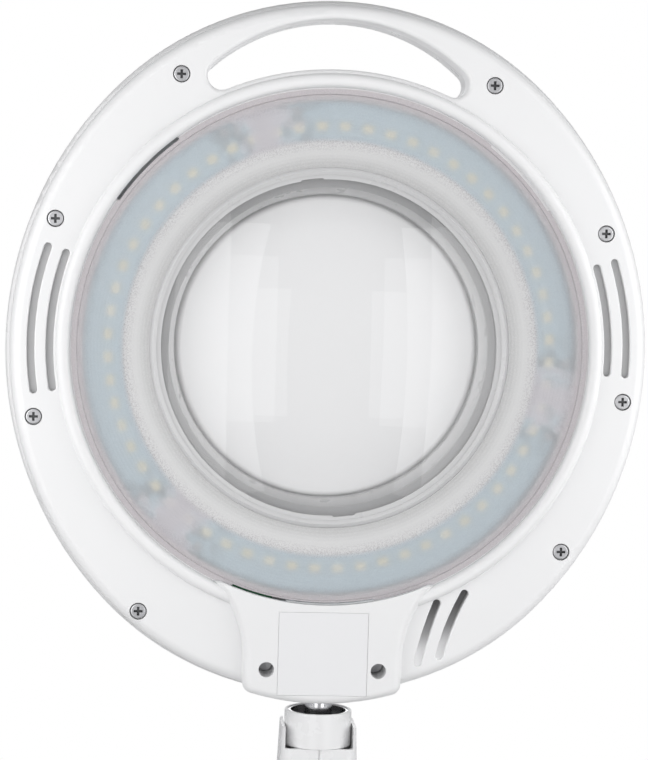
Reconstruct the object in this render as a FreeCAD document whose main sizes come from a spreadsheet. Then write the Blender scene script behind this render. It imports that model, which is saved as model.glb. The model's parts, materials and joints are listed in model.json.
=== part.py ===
import FreeCAD, Part
import math
import os
import re

import Sketcher
from FreeCAD import Placement, Rotation, Vector

# Magnifying lamp: a round LED head with a 5 inch lens and a grab handle, on a
# spring-balanced arm of two parallelograms, held to a table edge by a clamp.
#
# Frame of the whole lamp: +Z up, X to the right, the lit side of the head
# faces -Y. The origin is the middle of the face that the clamp's upper jaw
# rests on the table with. Millimetres and degrees.
#
# The head is drawn about the middle of its lens, face-on: x to the right, y
# into the head, z up. The knuckle is drawn about its tilt bolt, each bracket
# about its own middle, and each bar along its own length.

# ---------------------------------------------------------------------------
# Sizes
# ---------------------------------------------------------------------------
SIZES = {
    # lens: 3 dioptre, 5 inch, with the same curve on both faces
    "lens_radius": 63.5,
    "lens_edge": 2.5,
    "lens_curve": 348,
    "lens_back": 0.25,
    "view_radius": 60.8,
    "seat_depth": 1.0,
    "seat_wall": 2.7,
    # head outline and shells
    "head_half_height": 124,
    "oval_top": 108,
    "oval_side": 130.9,
    "head_drop": 1.1,
    "cover_overhang": 2,
    "bezel_depth": 11,
    "cover_depth": 12,
    "shell_wall": 2.4,
    "bezel_edge": 4,
    "cover_edge": 8,
    "cover_rim": 1.6,
    "bead_radius": 93.2,
    "bead_width": 4.6,
    "bead_height": 2.6,
    "bead_round": 2.5,
    # handle opening
    "handle_inner": 99.7,
    "handle_outer": 66.3,
    "handle_rise": 51.1,
    "handle_end": 5,
    "hole_edge": 1.6,
    # neck platform
    "neck_half_width": 28.6,
    "neck_bottom": 128,
    "neck_arc": 93.1,
    "neck_lip": 1.2,
    "neck_raise": 3.5,
    "neck_scoop": 40.8,
    "neck_shoulder": 112,
    "neck_edge": 2.8,
    "neck_corner": 4,
    # vents
    "vent_width": 2.7,
    "vent_inner": 100.3,
    "vent_outer": 107,
    "vent_left": 175.4,
    "vent_left_swing": 13.8,
    "vent_right": 7.5,
    "vent_right_swing": 10.9,
    "vent_middle": 103.6,
    "gill_width": 2.9,
    "gill_wall": 1.2,
    "gill_low": -112,
    "gill_high": -92,
    "vent_edge": 0.5,
    "baffle_gap": 0.25,
    "baffle_thick": 1.2,
    # lid behind the lens
    "lid_radius": 68,
    "lid_curve": 420,
    "lid_thick": 2.2,
    "lid_gap": 0.4,
    "liner_radius": 53.2,
    "liner_front": 7.4,
    "liner_curve": 260,
    "liner_edge": 2.2,
    "liner_thick": 1.8,
    "hinge_radius": 3,
    "hinge_drop": 73,
    # light
    "board_inner": 74.5,
    "board_outer": 88.6,
    "board_thick": 1.6,
    "board_front": 4.8,
    "board_gap": 4,
    "board_turn": 108.7,
    "led_radius": 79.7,
    "led_long": 3.5,
    "led_wide": 2.8,
    "led_high": 0.8,
    "diffuser_radius": 92.7,
    "diffuser_thick": 1.2,
    "diffuser_front": 11.6,
    "flange_width": 1.8,
    "cone_outer": 73.8,
    "cone_inner": 64.9,
    "cone_depth": 5.6,
    "cone_shoulder": 11,
    # screws
    "screw_head": 2.85,
    "screw_high": 1.8,
    "screw_shank": 1.4,
    "screw_bore": 1.5,
    "post_radius": 3.6,
    "neck_hole": 2.8,
    "neck_hole_side": 20.2,
    "neck_hole_drop": 115.5,
    # switch and cord inlet
    "switch_drop": 91,
    "rocker_turn": 16,
    "grommet_drop": 118,
    # stud and knuckle
    "stud_radius": 5,
    "cup_outer": 12.25,
    "cup_inner": 11.1,
    "cup_depth": 10.5,
    "cup_base": 2.1,
    "cup_gap": 4.2,
    "knuckle_rise": 61.2,
    "core_radius": 9.8,
    "lug_half": 7.6,
    "shroud_half": 13.3,
    "shroud_flare": 0.8,
    "shroud_wall": 1.6,
    "shroud_half_deep": 11.6,
    "shroud_screw_rise": 26,
    # arm
    "tilt_back": -13.9,
    "tilt_rise": 30.3,
    "arm_length": 330,
    "arm_spacing": 26,
    "lower_lean": 18,
    "upper_lean": 70,
    "upper_turn": 30,
    "elbow_back": 4,
    "elbow_rise": 30,
    "bar_width": 12,
    "bar_depth": 12,
    "bar_wall": 1.5,
    "bolt_radius": 3,
    "bush_radius": 4.5,
    "run_fit": 0.05,
    "plate_inner": 8,
    "plate_thick": 2,
    "plate_round": 9,
    "spring_radius": 4,
    "spring_side": 15,
    "spring_length": 150,
    "spring_start": 34,
    "wire_radius": 0.6,
    # base and clamp
    "base_rise": 62,
    "pin_radius": 6.35,
    "boss_radius": 13,
    "boss_top": 40,
    "washer_thick": 2,
    "jaw_half": 25,
    "jaw_thick": 6,
    "jaw_wide": 40,
    "pad_thick": 2,
    "jaw_gap": 70,
    "table_gap": 40,
    "screw_thread": 5,
}

doc = FreeCAD.newDocument("MagnifyingLamp")
sheet = doc.addObject("Spreadsheet::Sheet", "Sizes")
for row, (alias, number) in enumerate(SIZES.items(), 1):
    sheet.set(f"A{row}", alias)
    sheet.set(f"B{row}", str(number))
    sheet.setAlias(f"B{row}", alias)
doc.recompute()

# Directions that a rod or a sketch is laid in.
ALONG = {
    "x": Rotation(Vector(0, 1, 0), 90),
    "y": Rotation(Vector(1, 0, 0), -90),
    "z": Rotation(),
}
FACE_ON = Rotation(Vector(1, 0, 0), Vector(0, 0, 1), Vector(0, -1, 0), "ZXY")
SIDE_ON = Rotation(Vector(0, 1, 0), Vector(0, 0, 1), Vector(1, 0, 0), "ZXY")
INTO_HEAD = Vector(0, 1, 0)
OVAL_RISE = "head_half_height - oval_top"
TO_THE_RIGHT = Vector(1, 0, 0)


# ---------------------------------------------------------------------------
# Helpers: sizes
# ---------------------------------------------------------------------------
def link(text):
    """An expression in which every size name points at the sheet."""
    return re.sub(r"\b[a-z]+(?:_[a-z]+)+\b", lambda name: "Sizes." + name.group(0), str(text))


def size(text):
    """The value of an expression."""
    return float(sheet.evalExpression(link(text)))


def bind(thing, **sizes):
    """Bind properties of an object to the sheet."""
    for name, text in sizes.items():
        thing.setExpression(name, link(text))


def put(thing, spot):
    """Bind an object's position to the sheet."""
    for axis, text in zip("xyz", spot):
        thing.setExpression("Placement.Base." + axis, link(text))


# ---------------------------------------------------------------------------
# Helpers: solids
# ---------------------------------------------------------------------------
def rod(radius, length, start, along="z"):
    """A cylinder that runs from start in a positive direction."""
    piece = doc.addObject("Part::Cylinder", "rod")
    piece.Placement.Rotation = ALONG[along]
    bind(piece, Radius=radius, Height=length)
    put(piece, start)
    return piece


def cone(first, last, length, start, along="z"):
    """A cone from radius first, at start, to radius last."""
    piece = doc.addObject("Part::Cone", "cone")
    piece.Placement.Rotation = ALONG[along]
    bind(piece, Radius1=first, Radius2=last, Height=length)
    put(piece, start)
    return piece


def block(corner, extent):
    """A box from its lowest corner."""
    piece = doc.addObject("Part::Box", "block")
    bind(piece, Length=extent[0], Width=extent[1], Height=extent[2])
    put(piece, corner)
    return piece


def middle_block(wide, corner, extent):
    """A box that is centred on x."""
    return block((f"-({wide}) / 2", corner[0], corner[1]), (wide, extent[0], extent[1]))


def fuse(*pieces):
    """One solid from several that touch."""
    joined = doc.addObject("Part::MultiFuse", "joined")
    joined.Shapes = list(pieces)
    joined.Refine = True
    return joined


def cut(base, *tools):
    """The base without the tools."""
    piece = doc.addObject("Part::Cut", "cut")
    piece.Base = base
    piece.Tool = tools[0] if len(tools) == 1 else fuse(*tools)
    return piece


def common(base, tool):
    """What two solids share."""
    piece = doc.addObject("Part::Common", "common")
    piece.Base = base
    piece.Tool = tool
    return piece


def group(*pieces):
    """Separate solids that are kept together, such as a set of screws."""
    kept = doc.addObject("Part::Compound", "group")
    kept.Links = list(pieces)
    return kept


def ring(outer, inner, length, start, along="z"):
    """A tube or washer."""
    return cut(rod(outer, length, start, along), rod(inner, length, start, along))


def extrude(outline, length, direction):
    """A closed outline pulled into a solid."""
    solid = doc.addObject("Part::Extrusion", "extrusion")
    solid.Base = outline
    solid.DirMode = "Custom"
    solid.Dir = direction
    solid.Solid = True
    bind(solid, LengthFwd=length)
    return solid


def polygon(points, turn, start):
    """A closed polygon sketch whose corners are bound to the sheet."""
    sketch = doc.addObject("Sketcher::SketchObject", "polygon")
    sketch.Placement.Rotation = turn
    draw_polygon(sketch, points)
    put(sketch, start)
    return sketch


def draw_polygon(sketch, points):
    """Lines between corners, each corner held by two bound distances."""
    corners = [Vector(size(across), size(up), 0) for across, up in points]
    count = len(corners)
    for i, corner in enumerate(corners):
        sketch.addGeometry(Part.LineSegment(corner, corners[(i + 1) % count]), False)
    for i in range(count):
        sketch.addConstraint(Sketcher.Constraint("Coincident", i, 2, (i + 1) % count, 1))
    for i, (across, up) in enumerate(points):
        for kind, text in (("DistanceX", across), ("DistanceY", up)):
            number = sketch.addConstraint(Sketcher.Constraint(kind, -1, 1, i, 1, size(text)))
            name = f"{kind}{i}"
            sketch.renameConstraint(number, name)
            sketch.setExpression("Constraints." + name, link(text))


def rounded_plate(points, radius, thick, start):
    """A plate across x: a polygon of centres with a round of the given radius on each."""
    outline = doc.addObject("Part::Offset2D", "outline")
    outline.Source = polygon(points, SIDE_ON, start)
    bind(outline, Value=radius)
    return extrude(outline, thick, TO_THE_RIGHT)


def body_with_sketch(name, points, role):
    """A body with a polygon sketch on one of its own origin planes."""
    body = doc.addObject("PartDesign::Body", name)
    sketch = body.newObject("Sketcher::SketchObject", name + "_profile")
    plane = next(f for f in body.Origin.OriginFeatures if f.Role == role)
    sketch.AttachmentSupport = [(plane, "")]
    sketch.MapMode = "FlatFace"
    draw_polygon(sketch, points)
    return body, sketch


def turned(name, profile):
    """A body of revolution about y, from a profile of (radius, y) corners."""
    body, sketch = body_with_sketch(name, profile, "XY_Plane")
    feature = body.newObject("PartDesign::Revolution", name + "_turn")
    feature.Profile = sketch
    feature.ReferenceAxis = (sketch, ["V_Axis"])
    feature.Angle = 360
    return body


def turned_upright(name, profile):
    """A body of revolution about z, from a profile of (radius, z) corners."""
    body, sketch = body_with_sketch(name, profile, "XZ_Plane")
    feature = body.newObject("PartDesign::Revolution", name + "_turn")
    feature.Profile = sketch
    feature.ReferenceAxis = (sketch, ["V_Axis"])
    feature.Angle = 360
    return body


def arc_slot(radius, width, first, last, length, start):
    """A curved slot with round ends, cut along y, about the point start."""
    path = doc.addObject("Part::Circle", "path")
    path.Placement.Rotation = FACE_ON
    bind(path, Radius=radius, Angle1=first, Angle2=last)
    put(path, start)
    outline = doc.addObject("Part::Offset2D", "slot")
    outline.Source = path
    outline.Mode = "Pipe"
    bind(outline, Value=f"({width}) / 2")
    return extrude(outline, length, INTO_HEAD)


def arc_outline(arcs, joints, held):
    """A face-on sketch of arcs that run smoothly into each other.

    Each arc is (centre x, centre z, radius, first angle, last angle). Each joint is a pair of
    arc ends, and each held row is a constraint with the expression that sets it.
    """
    sketch = doc.addObject("Sketcher::SketchObject", "outline")
    sketch.Placement.Rotation = FACE_ON
    for across, up, radius, first, last in arcs:
        circle = Part.Circle(Vector(across, up, 0), Vector(0, 0, 1), radius)
        sketch.addGeometry(Part.ArcOfCircle(circle, math.radians(first), math.radians(last)), False)
    for joint in joints:
        sketch.addConstraint(Sketcher.Constraint("Tangent", *joint))
    for row, (constraint, text) in enumerate(held):
        number = sketch.addConstraint(Sketcher.Constraint(*constraint, size(text)))
        name = f"held{row}"
        sketch.renameConstraint(number, name)
        sketch.setExpression("Constraints." + name, link(text))
    return sketch


def oval_slab(grow, front, length):
    """The head's outline, four smooth arcs, larger all round by grow, from y = front."""
    top = size("oval_top")
    side = size("oval_side")
    rise = size(OVAL_RISE)
    shift = math.sqrt((side - top) ** 2 - rise**2)
    turn = math.degrees(math.atan2(rise, shift))
    bigger = size(grow)
    arcs = (
        (0, rise, top + bigger, turn, 180 - turn),
        (shift, 0, side + bigger, 180 - turn, 180 + turn),
        (0, -rise, top + bigger, 180 + turn, 360 - turn),
        (-shift, 0, side + bigger, -turn, turn),
    )
    joints = ((0, 2, 1, 1), (1, 2, 2, 1), (2, 2, 3, 1), (3, 2, 0, 1))
    held = (
        (("Radius", 0), f"oval_top + {grow}"),
        (("Radius", 1), f"oval_side + {grow}"),
        (("Radius", 2), f"oval_top + {grow}"),
        (("Radius", 3), f"oval_side + {grow}"),
        (("DistanceX", -1, 1, 0, 3), "0"),
        (("DistanceY", -1, 1, 0, 3), OVAL_RISE),
        (("DistanceX", -1, 1, 2, 3), "0"),
        (("DistanceY", -1, 1, 2, 3), f"-({OVAL_RISE})"),
    )
    sketch = arc_outline(arcs, joints, held)
    put(sketch, ("0", front, "-head_drop"))
    return extrude(sketch, length, INTO_HEAD)


def fillet(base, radius, chosen):
    """Round every edge of the base that the test picks."""
    doc.recompute()
    picked = [i for i, edge in enumerate(base.Shape.Edges, 1) if chosen(edge.BoundBox)]
    if not picked:
        raise ValueError("no edge to round on " + base.Label)
    rounded = doc.addObject("Part::Fillet", "rounded")
    rounded.Base = base
    rounded.Edges = [(i, size(radius), size(radius)) for i in picked]
    return rounded


def flat_at(axis, text):
    """A test for edges that lie in one plane across an axis."""
    level = size(text)

    def chosen(box):
        low = getattr(box, axis + "Min")
        high = getattr(box, axis + "Max")
        return abs(low - level) < 0.01 and abs(high - level) < 0.01

    return chosen


def sphere(radius, centre):
    """A ball about a point."""
    piece = doc.addObject("Part::Sphere", "sphere")
    bind(piece, Radius=radius)
    put(piece, centre)
    return piece


def torus(ring_radius, tube_radius, centre):
    """A ring of round section about the y axis."""
    piece = doc.addObject("Part::Torus", "torus")
    piece.Placement.Rotation = ALONG["y"]
    bind(piece, Radius1=ring_radius, Radius2=tube_radius)
    put(piece, centre)
    return piece


def hexagon(radius, length, start, along="z"):
    """A hexagonal bar, for bolt heads and nuts."""
    piece = doc.addObject("Part::Prism", "hexagon")
    piece.Polygon = 6
    piece.Placement.Rotation = ALONG[along]
    bind(piece, Circumradius=radius, Height=length)
    put(piece, start)
    return piece


def moved(piece, shift, degrees=0, axis=INTO_HEAD):
    """A copy of a piece, turned about an axis and then shifted."""
    copy = doc.addObject("Part::Compound", "moved")
    copy.Links = [piece]
    copy.Placement = Placement(shift, Rotation(axis, degrees))
    return copy


def both_sides(make):
    """The same piece on the left and on the right: make is given -1 and 1."""
    return group(make(-1), make(1))


def span(side, near, far):
    """The lowest x of a stretch from near to far, on one side of the middle."""
    return f"-({far})" if side < 0 else near


# ---------------------------------------------------------------------------
# Frames of the assemblies
# ---------------------------------------------------------------------------
nodes = []


def lean(degrees):
    """The direction, in the YZ plane, that leans back from upright."""
    return Vector(0, math.sin(math.radians(degrees)), math.cos(math.radians(degrees)))


ARM = size("arm_length")
BASE = Vector(0, 0, size("base_rise"))
ELBOW = BASE + lean(size("lower_lean")) * ARM
UPPER_START = ELBOW + Vector(0, -size("elbow_back"), size("elbow_rise"))
WRIST = UPPER_START + lean(-size("upper_lean")) * ARM
PAIR_TURN = lean(size("upper_turn")) * (size("arm_spacing") / 2)
TILT = WRIST + Vector(0, size("tilt_back"), size("tilt_rise"))
HEAD = TILT + Vector(0, 0, size("knuckle_rise + cup_gap + neck_bottom"))


def keep(piece, label, origin=Vector(), turn=Rotation()):
    """Name a finished sub-part and put it in its place on the lamp."""
    is_bound = any("Placement" in path for path, _ in piece.ExpressionEngine)
    if is_bound or not piece.Placement.isIdentity():
        piece = group(piece)
    piece.Label = label
    piece.Placement = Placement(origin, turn)
    nodes.append(piece)
    return piece


def around(angle, radius):
    """The x and z of a point on the head, as expressions."""
    turn = f"({angle}) * 1 deg"
    return f"({radius}) * cos({turn})", f"({radius}) * sin({turn})"


# ---------------------------------------------------------------------------
# Clamp
# ---------------------------------------------------------------------------
JAW_BACK = "jaw_half + jaw_thick"
SCREW_HOLE = "screw_thread + run_fit"


def clamp_frame():
    """A cast C: jaw, spine and lower jaw, with a socket on top for the swivel pin."""
    drop = "jaw_gap + jaw_thick"
    jaw = middle_block("jaw_wide", ("-jaw_half", "pad_thick"), ("2 * jaw_half + jaw_thick", "jaw_thick"))
    spine = middle_block(
        "jaw_wide", ("jaw_half", f"-({drop})"), ("jaw_thick", f"{drop} + pad_thick + jaw_thick")
    )
    foot = middle_block("jaw_wide * 0.7", ("-12", f"-({drop})"), (f"12 + {JAW_BACK}", "jaw_thick"))
    nut = rod("screw_thread + 6", "jaw_thick + 10", ("0", "0", "-jaw_gap - jaw_thick - 6"))
    boss = rod("boss_radius", "boss_top - pad_thick - 1", ("0", "0", "pad_thick + 1"))
    whole = fuse(jaw, spine, foot, nut, boss)

    def back_corners(box):
        return box.XLength > 20 and box.YMin > size(JAW_BACK) - 0.01 and box.ZLength < 0.01

    rounded = fillet(whole, "jaw_thick - 1", back_corners)
    return cut(
        rounded,
        rod("pin_radius + run_fit", "boss_top", ("0", "0", "10")),
        rod(SCREW_HOLE, "jaw_thick + 20", ("0", "0", "-jaw_gap - jaw_thick - 10")),
        rod("2.5 + run_fit", "boss_radius + 1", ("0", "0", "boss_top - 14"), "x"),
    )


def build_clamp():
    """The clamp frame, its pads, its screw and the knob that locks the swivel."""
    keep(clamp_frame(), "clamp_frame")
    pad = middle_block("jaw_wide - 4", ("-jaw_half", "0"), ("2 * jaw_half", "pad_thick"))
    keep(pad, "upper_jaw_pad")

    top = "-table_gap - pad_thick"
    plate = turned_upright("clamp_pressure_pad", [
        ("0", top),
        ("15", top),
        ("15", f"{top} - 2"),
        ("8", f"{top} - 2"),
        ("8", f"{top} - 8"),
        (SCREW_HOLE, f"{top} - 8"),
        (SCREW_HOLE, f"{top} - 3.5"),
        ("0", f"{top} - 3.5"),
    ])
    keep(plate, "clamp_pressure_pad")
    keep(rod("14", "pad_thick", ("0", "0", top)), "pressure_pad_rubber")

    tip = f"{top} - 3.6"
    bar_level = f"{tip} - 104"
    shank = rod("screw_thread", "100", ("0", "0", f"{tip} - 100"))
    head = rod("8", "12", ("0", "0", f"{bar_level} - 6"))
    keep(cut(fuse(shank, head), rod("3 + run_fit", "20", ("-10", "0", bar_level), "x")), "clamp_screw")
    tommy = fuse(
        rod("3", "64", ("-32", "0", bar_level), "x"),
        sphere("4.5", ("-32", "0", bar_level)),
        sphere("4.5", ("32", "0", bar_level)),
    )
    keep(tommy, "clamp_tommy_bar")
    keep(lobed_knob("2.5", "pin_radius + 0.15", "16", "12", "8.5"), "swivel_lock_knob", lock_spot())


def lock_spot():
    """The point on the swivel axis that the lock knob points at."""
    return Vector(0, 0, size("boss_top - 14"))


def lobed_knob(shank, tip, near, thick, radius, bore=None):
    """A knob with five finger lobes on an axis along x, on a plain shank or a bored hub."""
    lobes = []
    for turn in range(0, 360, 72):
        up, across = around(turn, radius)
        lobes.append(rod(f"({radius}) * 0.42", thick, (near, across, up), "x"))
    grip = fuse(rod(radius, thick, (near, "0", "0"), "x"), *lobes)
    cap = cone(f"({radius}) * 0.9", f"({radius}) * 0.6", "2", (f"{near} + {thick}", "0", "0"), "x")
    if bore is None:
        return fuse(grip, cap, rod(shank, f"{near} - ({tip})", (tip, "0", "0"), "x"))
    return cut(fuse(grip, cap), rod(bore, f"({thick}) * 0.7", (near, "0", "0"), "x"))


# ---------------------------------------------------------------------------
# Arm
# ---------------------------------------------------------------------------
def pivot_pair(turn):
    """The two pivots of a bracket, as (y, z) expressions, where the pair leans back by turn."""
    across = f"arm_spacing / 2 * sin(({turn}) * 1 deg)"
    rise = f"arm_spacing / 2 * cos(({turn}) * 1 deg)"
    return (across, rise), (f"-({across})", f"-({rise})")


def pivot_bolts(points):
    """Bolts across a bracket, each with a hexagonal head on one side and a nut on the other."""
    half = "plate_inner + plate_thick"
    bolts = []
    for across, rise in points:
        shank = rod("bolt_radius", f"2 * ({half}) + 6", (f"-({half}) - 3", across, rise), "x")
        head = hexagon("5.5", "3.4", (f"-({half}) - 3.5", across, rise), "x")
        nut = hexagon("5.5", "2.6", (half, across, rise), "x")
        bolts.append(fuse(shank, head, nut))
    return group(*bolts)


def drilled_plates(points, holes, start=("0", "0")):
    """The left and right plate of a bracket, bored for its bolts."""

    def plate(side):
        near = span(side, "plate_inner", "plate_inner + plate_thick")
        blank = rounded_plate(points, "plate_round", "plate_thick", (near, *start))
        bores = [
            rod("bolt_radius + run_fit", "plate_thick + 2", (f"{near} - 1", *hole), "x")
            for hole in holes
        ]
        return cut(blank, *bores)

    return both_sides(plate)


def spring_stubs(across, rise):
    """Two short pegs that stand out from a bracket, one for each spring's hook."""
    half = "plate_inner + plate_thick"

    def peg(side):
        shank = rod("2", "9.5", (span(side, half, f"{half} + 9.5"), across, rise), "x")
        head = rod("3.2", "1.2", (span(side, f"{half} + 8.3", f"{half} + 9.5"), across, rise), "x")
        return fuse(shank, head)

    return both_sides(peg)


def arm_bar(label, open_side, has_pin, origin, turn):
    """A bar of folded channel with a hole at each end, drawn upright from its lower pivot."""
    half = "bar_depth / 2"
    outer = middle_block("bar_width", (f"-{half}", "-6"), ("bar_depth", "arm_length + 12"))
    hollow = middle_block(
        "bar_width - 2 * bar_wall",
        (f"-{half} + bar_wall" if open_side > 0 else f"-{half} - 1", "-7"),
        ("bar_depth - bar_wall + 1", "arm_length + 14"),
    )
    bores = [rod("bush_radius", "20", ("-10", "0", level), "x") for level in ("0", "arm_length")]
    if has_pin:
        bores.append(rod("2 + run_fit", "20", ("-10", "0", "spring_start + spring_length + 12"), "x"))

    def lengthwise_corners(box):
        return box.ZLength > 300 and abs(abs(box.XMax) - size("bar_width / 2")) < 0.01

    rounded = fillet(cut(outer, hollow), "1", lengthwise_corners)
    keep(cut(rounded, *bores), label, origin, turn)


def arm_bushes(label, origin, turn):
    """A plastic bush in each end of a bar, which turns on the bracket's bolt."""
    tube = "2 * plate_inner - 2 * run_fit"
    bushes = [
        ring("bush_radius", "bolt_radius + run_fit", tube, ("-plate_inner + run_fit", "0", level), "x")
        for level in ("0", "arm_length")
    ]
    keep(group(*bushes), label, origin, turn)


def arm_springs(name, origin, turn):
    """The two balance springs beside a bar, and the cross pin that holds their far ends."""
    pin_level = "spring_start + spring_length + 12"
    pin = fuse(
        rod("2", "39", ("-19.5", "0", pin_level), "x"),
        rod("3.2", "1.2", ("-19.5", "0", pin_level), "x"),
        rod("3.2", "1.2", ("18.3", "0", pin_level), "x"),
    )
    keep(pin, f"{name}_spring_pin", origin, turn)

    def spring(side):
        middle = f"{side} * spring_side"
        coil = rod("spring_radius", "spring_length", (middle, "0", "spring_start"))
        hook = rod("wire_radius", "9.9", (middle, "0", "spring_start + spring_length"))
        return fuse(coil, hook)

    keep(both_sides(spring), f"{name}_springs", origin, turn)


def build_base():
    """The swivelling bracket on the clamp: pin, washer, folded bracket and its bolts."""
    floor = "-20"
    sheet_thick = "2.5"
    pin_top = f"base_rise + {floor} + {sheet_thick}"
    pin = fuse(
        rod("pin_radius", f"{pin_top} - 12", ("0", "0", "12")),
        rod("plate_inner - 0.2", "1.6", ("0", "0", pin_top)),
    )
    keep(pin, "base_swivel_pin")
    washer = ring("boss_radius", "pin_radius + run_fit", "washer_thick", ("0", "0", "boss_top"))
    keep(washer, "base_washer")

    pivots = pivot_pair("90")
    peg = ("-arm_spacing / 2", "14")
    corners = [("-15", "-11"), ("15", "-11"), ("13", "0"), peg]
    cheeks = drilled_plates(corners, pivots)
    base = middle_block("2 * (plate_inner + plate_thick)", ("-24", floor), ("48", sheet_thick))
    pin_hole = rod("pin_radius", "8", ("0", "0", f"{floor} - 2"))
    keep(cut(fuse(cheeks, base), pin_hole), "base_bracket", BASE)
    keep(pivot_bolts(pivots), "base_pivot_bolts", BASE)
    keep(spring_stubs(*peg), "base_spring_pegs", BASE)


def build_arm():
    """Two parallelograms of bars, with the elbow between them and the wrist at the end."""
    lower_turn = Rotation(Vector(1, 0, 0), -size("lower_lean"))
    upper_turn = Rotation(Vector(1, 0, 0), size("upper_lean"))
    spread = Vector(0, size("arm_spacing") / 2, 0)
    for name, origin, open_side, has_pin in (
        ("lower_front", BASE - spread, 1, True),
        ("lower_rear", BASE + spread, -1, False),
    ):
        arm_bar(f"{name}_bar", open_side, has_pin, origin, lower_turn)
        arm_bushes(f"{name}_bushes", origin, lower_turn)
    arm_springs("lower", BASE - spread, lower_turn)
    for name, origin, open_side, has_pin in (
        ("upper_top", UPPER_START + PAIR_TURN, -1, True),
        ("upper_bottom", UPPER_START - PAIR_TURN, 1, False),
    ):
        arm_bar(f"{name}_bar", open_side, has_pin, origin, upper_turn)
        arm_bushes(f"{name}_bushes", origin, upper_turn)
    arm_springs("upper", UPPER_START + PAIR_TURN, upper_turn)

    upper_pair = [
        (f"{across} - elbow_back", f"{rise} + elbow_rise") for across, rise in pivot_pair("upper_turn")
    ]
    lower_pair = pivot_pair("90")
    peg = (upper_pair[0][0], f"{upper_pair[0][1]} + 14")
    corners = [lower_pair[1], lower_pair[0], peg, upper_pair[1]]
    keep(drilled_plates(corners, [*lower_pair, *upper_pair]), "elbow_plates", ELBOW)
    keep(pivot_bolts([*lower_pair, *upper_pair]), "elbow_bolts", ELBOW)
    keep(spring_stubs(*peg), "elbow_spring_pegs", ELBOW)

    wrist_pair = pivot_pair("upper_turn")
    tilt = ("tilt_back", "tilt_rise")
    keep(drilled_plates([tilt, *wrist_pair], [tilt, *wrist_pair]), "wrist_plates", WRIST)
    keep(pivot_bolts(wrist_pair), "wrist_bolts", WRIST)


# ---------------------------------------------------------------------------
# Knuckle
# ---------------------------------------------------------------------------
RIM = "knuckle_rise"
CUP_FLOOR = "knuckle_rise - cup_depth"
CHEEK_AT_BOLT = "shroud_half + shroud_flare * knuckle_rise / 20"
CHEEK_AT_SCREW = "shroud_half + shroud_flare * (knuckle_rise - shroud_screw_rise) / 20"
WINDOW_SILL = "knuckle_rise - cup_depth - cup_base - 0.1"


def build_tilt():
    """The bolt that the knuckle tilts on, its washers and its knob."""
    head = hexagon("6", "3.6", (f"-({CHEEK_AT_BOLT}) - 4", "0", "0"), "x")
    shank = rod("bolt_radius", f"2 * ({CHEEK_AT_BOLT}) + 13", (f"-({CHEEK_AT_BOLT}) - 3", "0", "0"), "x")
    keep(fuse(head, shank), "tilt_bolt", TILT)
    near = "plate_inner + plate_thick"
    thick = f"{CHEEK_AT_BOLT} - shroud_wall - 0.3 - ({near})"

    def washer(side):
        start = (span(side, near, f"{near} + {thick}"), "0", "0")
        return ring("7.5", "bolt_radius + run_fit", thick, start, "x")

    keep(both_sides(washer), "tilt_washers", TILT)
    knob = lobed_knob("0", "0", f"{CHEEK_AT_BOLT} + 0.7", "14", "11", bore="bolt_radius + run_fit")
    keep(knob, "tilt_knob", TILT)


def neck_socket():
    """The cup that takes the head's stud, over a slimmer core and a flat lug."""
    cup = rod("cup_outer", "cup_depth + cup_base", ("0", "0", f"{CUP_FLOOR} - cup_base"))
    core = rod("core_radius", "27", ("0", "0", f"{CUP_FLOOR} - 28"))
    lug = block(("-lug_half", "-core_radius", "0"), ("2 * lug_half", "2 * core_radius", "26"))
    round_end = rod("core_radius", "2 * lug_half", ("-lug_half", "0", "0"), "x")
    solid = fuse(cup, core, lug, round_end)
    rounded = fillet(solid, "0.5", flat_at("Z", RIM))
    return cut(
        rounded,
        rod("cup_inner", "cup_depth + 1", ("0", "0", CUP_FLOOR)),
        rod("stud_radius + run_fit", "19", ("0", "0", f"{CUP_FLOOR} - 18.2")),
        rod("bolt_radius + run_fit", "30", ("-15", "0", "0"), "x"),
        rod("screw_bore", "40", ("-20", "0", "shroud_screw_rise"), "x"),
    )


def shroud_profile(inset, stretch):
    """The front view of the shroud: a tall trapezium, made smaller by inset and taller by stretch."""
    low = f"-15 - {stretch}"
    top = f"{RIM} - 5 + {stretch}"
    wide = f"shroud_half - {inset} + shroud_flare * ({RIM} + 15) / 20"
    narrow = f"shroud_half - {inset} + shroud_flare / 4"
    return [(f"-({wide})", low), (wide, low), (narrow, top), (f"-({narrow})", top)]


def shroud_block(inset, stretch, round_radius):
    """The shroud's outer form, or the hollow inside it, with rounded upright corners."""
    front = f"-shroud_half_deep + {inset}"
    outline = polygon(shroud_profile(inset, stretch), FACE_ON, ("0", front, "0"))
    solid = extrude(outline, f"2 * (shroud_half_deep - {inset})", INTO_HEAD)
    return fillet(solid, round_radius, lambda box: box.ZLength > 40 and box.YLength < 0.01)


def shroud(side):
    """Half of the cover round the knuckle, open at the bottom so that it can tilt."""
    whole = cut(
        shroud_block("0", "0", "4"),
        shroud_block("shroud_wall", "1", "2.5"),
        rod("cup_outer + 0.1", "20", ("0", "0", WINDOW_SILL)),
        middle_block("2 * cup_outer + 0.2", ("-20", WINDOW_SILL), ("40", "20")),
        middle_block("2 * (plate_inner + plate_thick + 1)", ("-20", "-20"), ("40", "33.5")),
        rod("bolt_radius + 0.4", "60", ("-30", "0", "0"), "x"),
        rod("screw_bore", "60", ("-30", "0", "shroud_screw_rise"), "x"),
        middle_block("0.12", ("-20", "-20"), ("40", "100")),
        seam_groove(-1),
        seam_groove(1),
    )
    half = block((span(side, "0", "30"), "-20", "-20"), ("30", "40", "100"))
    return common(whole, half)


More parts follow.
